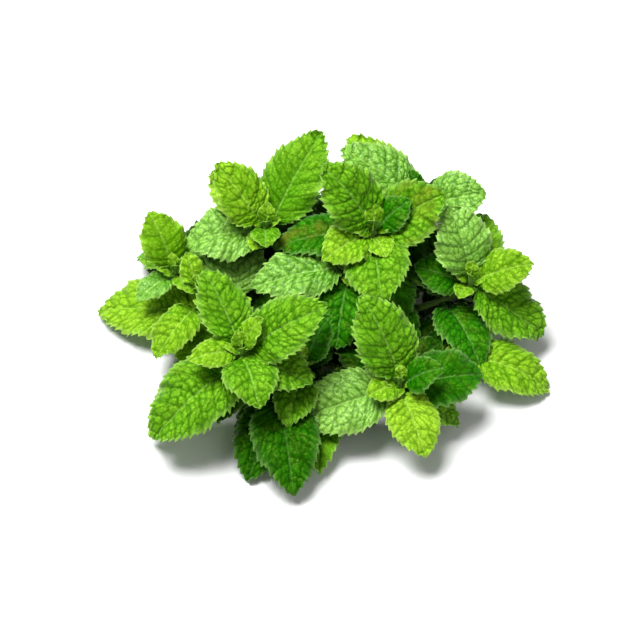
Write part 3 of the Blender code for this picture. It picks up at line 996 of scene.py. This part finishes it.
class MINT_OT_leaves(bpy.types.Operator):
    """Make the full-grown leaves, one for each packed leaf"""

    bl_idname = "mint.leaves"
    bl_label = "Leaves"

    def execute(self, context):
        props = context.scene.mint_leaf
        materials = tones()
        stem_points = node_points("stem")
        for part in frame["record"]["subparts"]:
            node, slot = part["node"], part["material_slot"]
            if node == "stem":
                continue
            foot, along, up, size = read_leaf(node, stem_points)
            # This leaf's painted shade and painted light, where it has any.
            style = FULL_STYLE._replace(quilt=QUILT.get(node, 1.0), shade=PAINTED_SHADING.get(node, 0.0))
            if node in FLUSHED_LEAVES:
                style = style._replace(flush=STRONG_FLUSH)
            points, faces, masks, uv = leaf_shell(size, style, props, seeded(node))
            leaf = new_object(f"{node}_blade", put(points, foot, along, up), faces, masks, uv)
            dress(leaf, materials[slot.removeprefix("leaf_")], slot)
            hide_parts(node)
        return {"FINISHED"}


class Room:
    """What stands in a new leaf's way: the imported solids, and rough sheets of the leaves added since."""

    def __init__(self):
        self.points, self.faces, self.count = [], [], 0
        for name in frame["nodes"]:
            self.gather(node_points(name), node_triangles(name))
        self.packed = self.tree = BVHTree.FromPolygons(self.points, self.faces)

    def gather(self, points, faces):
        """Take in more faces, without a new search tree yet."""
        self.points += points.tolist()
        self.faces += (faces + self.count).tolist()
        self.count += len(points)

    def add(self, points, faces):
        """Take in one more sheet, which stands in the way from now on."""
        self.gather(points, faces)
        self.tree = BVHTree.FromPolygons(self.points, self.faces)

    def fits(self, points, faces):
        """Whether a sheet is inside the sprig's box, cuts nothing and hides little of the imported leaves."""
        inside = (points > np.array(CAD_LOW) + MM).all() and (points < np.array(CAD_HIGH) - MM).all()
        if not inside or self.tree.overlap(BVHTree.FromPolygons(points.tolist(), faces.tolist())):
            return False
        return sum(self.hides(Vector(point)) for point in points) <= MOST_HIDING * len(points)

    def hides(self, point):
        """Whether a point would stand open to the front with a packed leaf behind it."""
        if self.packed.ray_cast(point, FRONT)[0] is not None:
            return False
        return self.packed.ray_cast(point, -FRONT)[0] is not None


def rough_leaf(leaf, shoot):
    """A coarse sheet with a small leaf's outline, arch and fold, from just off its foot to its tip."""
    u = np.linspace(0.12, 0.98, 8)[:, None]
    y = outline(u, leaf.width) * np.linspace(-1, 1, 7)
    rib = np.abs(y)
    bend = FULL_STYLE.fold * rib - FULL_STYLE.curl * rib**2 / (leaf.width / 2)
    z = 4 * leaf.arch * leaf.length * u * (1 - u) + bend
    points = np.stack([u * leaf.length + 0 * y, y, z], axis=-1)
    return put(points.reshape(-1, 3), *small_leaf_place(shoot, leaf)), grid_faces(8, 7, 0)


def lower_leaf(room, shoot, heading, level):
    """The first small leaf of the listed lengths, turns and pitches that has room, or None."""
    for share in LOWER_SHARES:
        length = LOWER_LENGTH_MM * share
        width = 0.66 * length
        for turn in LOWER_TURNS:
            for pitch in LOWER_PITCHES:
                # A lower leaf takes the shaded tone, which is painted shade.
                leaf = Small(shoot.name, "", heading + turn, pitch, length, width, level, 0, 0.08, "dark")
                sheet = rough_leaf(leaf, shoot)
                if room.fits(*sheet):
                    room.add(*sheet)
                    return leaf
    return None


def small_leaf_shell(leaf, shoot, style, props, rng):
    """A small leaf's shell, put in its place on its shoot."""
    size = (leaf.length, leaf.width, leaf.arch)
    points, faces, masks, uv = leaf_shell(size, style, props, rng)
    return put(points, *small_leaf_place(shoot, leaf)), faces, masks, uv


def make_small_leaf(name, leaf, shoot, style, props):
    """A small leaf as a piece of its own."""
    obj = new_object(name, *small_leaf_shell(leaf, shoot, style, props, seeded(name)))
    dress(obj, tones()[leaf.tone], f"leaf_{leaf.tone}")


class MINT_OT_small_leaves(bpy.types.Operator):
    """Make the small leaves, and the lower ones that fill the sprig, which have no solid of their own"""

    bl_idname = "mint.small_leaves"
    bl_label = "Small and lower leaves"

    def execute(self, context):
        props = context.scene.mint_leaf
        shoots = {shoot.name: shoot for shoot in SHOOTS}
        room = Room()
        for leaf in SMALL_LEAVES:
            shoot = shoots[leaf.shoot]
            room.add(*rough_leaf(leaf, shoot))
            make_small_leaf(f"{leaf.shoot}_small_{leaf.name}", leaf, shoot, FULL_STYLE, props)
        for shoot in SHOOTS:
            length = distance_below_tip(shoot_line(shoot, 100))[0]
            levels = np.arange(LOWER_FIRST_MM, length - 4, LOWER_STEP_MM)
            for k, level in enumerate(levels):
                for letter, half in (("b", 0), ("a", 180)):
                    leaf = lower_leaf(room, shoot, shoot.turn + 45 + 90 * k + half, level)
                    if leaf:
                        name = f"{shoot.name}_lower_{k + 1}{letter}"
                        make_small_leaf(name, leaf, shoot, HIDDEN_STYLE, props)
        return {"FINISHED"}


def bud_leaves(shoot, props):
    """The shells of a growing tip's leaves, the second of each pair smaller than the first."""
    rng = seeded(shoot.name)
    for k, (share, pitch, level) in enumerate(BUD_PAIRS):
        for half, size in ((0, 1.0), (180, 0.7)):
            heading = shoot.turn + 90 * k + half + rng.uniform(-12, 12)
            length = shoot.bud * share * rng.uniform(0.88, 1.12) * size
            pitched = pitch + rng.uniform(-7, 7)
            roll = rng.uniform(-12, 12)
            leaf = Small(shoot.name, "", heading, pitched, length, 0.8 * length, level, roll, 0.10, "young")
            yield small_leaf_shell(leaf, shoot, BUD_STYLE, props, rng)


class MINT_OT_buds(bpy.types.Operator):
    """Make the growing tip of every shoot: pairs of small folded leaves, each pair across the one below"""

    bl_idname = "mint.buds"
    bl_label = "Growing tips"

    def execute(self, context):
        material = tones()["young"]
        for shoot in SHOOTS:
            bud = joined(bud_leaves(shoot, context.scene.mint_leaf))
            dress(new_object(f"{shoot.name}_bud", *bud), material, "leaf_young")
        return {"FINISHED"}


class MINT_OT_stems(bpy.types.Operator):
    """Make the main stem and its side shoots, which grew as one piece"""

    bl_idname = "mint.stems"
    bl_label = "Stems"

    def execute(self, context):
        shoots = (shoot_shell(shoot, context.scene.mint_stem) for shoot in SHOOTS)
        obj = new_object("stems", *joined((main_stem_shell(), *shoots)))
        dress(obj, stem_material(context.scene.mint_colours), "stem")
        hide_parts("stem")
        return {"FINISHED"}


def aim(obj, place, target):
    """Put an object at a place and turn its -Z axis to a target."""
    place, target = Vector(place), Vector(target)
    obj.location = place
    obj.rotation_euler = (target - place).to_track_quat("-Z", "Y").to_euler()


def area_light(name, place, side, power):
    """A square white light at a place, turned towards the sprig."""
    data = bpy.data.lights.new(name, "AREA")
    data.size = side
    data.energy = power
    aim(link_new(name, data), place, SPRIG_MIDDLE)


def pale_floor():
    """A flat, pale square under the sprig."""
    ends = ((-1, -1, 0), (1, -1, 0), (1, 1, 0), (-1, 1, 0))
    corners = FLOOR_REACH * np.array(ends, float)
    floor = new_object("floor", corners, [np.array([[0, 1, 2, 3]])], {}, corners[:, :2])
    material, tree, shader = new_material("pale_floor")
    fill(tree, shader, {"Base Color": (0.9, 0.9, 0.9, 1), "Roughness": 0.8})
    floor.data.materials.append(material)


def soft_sky(strength):
    """An even white light all round."""
    world = bpy.data.worlds.new("soft_sky")
    world.use_nodes = True
    tree = world.node_tree
    fill(tree, tree.nodes["Background"], {"Color": (1, 1, 1, 1), "Strength": strength})
    return world


class MINT_OT_stage(bpy.types.Operator):
    """Make the pale floor, the soft lights and the camera"""

    bl_idname = "mint.stage"
    bl_label = "Stage"

    def execute(self, context):
        scene, props = context.scene, context.scene.mint_stage
        pale_floor()
        scene.world = soft_sky(props.sky)
        area_light("key", KEY_PLACE, KEY_SIDE, props.key)
        area_light("fill", FILL_PLACE, FILL_SIDE, props.key * FILL_SHARE)
        scene.view_settings.view_transform = "Standard"
        camera = link_new("camera", bpy.data.cameras.new("camera"))
        back = Vector((0, -math.cos(props.elevation), math.sin(props.elevation)))
        target = Vector(CAMERA_TARGET)
        aim(camera, target + back * props.distance, target)
        camera.data.lens = camera.data.sensor_width * (props.distance - WIDTH_NEARER) / props.width
        scene.camera = camera
        return {"FINISHED"}


class MINT_PT_sprig(bpy.types.Panel):
    """Lists the operators that build the sprig, and its settings"""

    bl_label = "Mint sprig"
    bl_space_type = "VIEW_3D"
    bl_region_type = "UI"
    bl_category = "Mint"

    def draw(self, context):
        for operator in OPERATORS:
            self.layout.operator(operator.bl_idname)
        for name in SETTINGS:
            box = self.layout.box()
            group = getattr(context.scene, name)
            for prop in group.__annotations__:
                box.prop(group, prop)


OPERATORS = (MINT_OT_leaves, MINT_OT_small_leaves, MINT_OT_buds, MINT_OT_stems, MINT_OT_stage)
SETTINGS = {
    "mint_leaf": MintLeafSettings,
    "mint_stem": MintStemSettings,
    "mint_colours": MintColours,
    "mint_stage": MintStageSettings,
}
CLASSES = (*SETTINGS.values(), *OPERATORS, MINT_PT_sprig)


def register():
    for cls in CLASSES:
        bpy.utils.register_class(cls)
    for name, cls in SETTINGS.items():
        setattr(bpy.types.Scene, name, bpy.props.PointerProperty(type=cls))


def unregister():
    for name in SETTINGS:
        delattr(bpy.types.Scene, name)
    for cls in reversed(CLASSES):
        bpy.utils.unregister_class(cls)


def main():
    """Build the sprig and its stage."""
    register()
    bpy.ops.mint.leaves()
    bpy.ops.mint.small_leaves()
    bpy.ops.mint.buds()
    bpy.ops.mint.stems()
    bpy.ops.mint.stage()


if __name__ == "__main__":
    main()
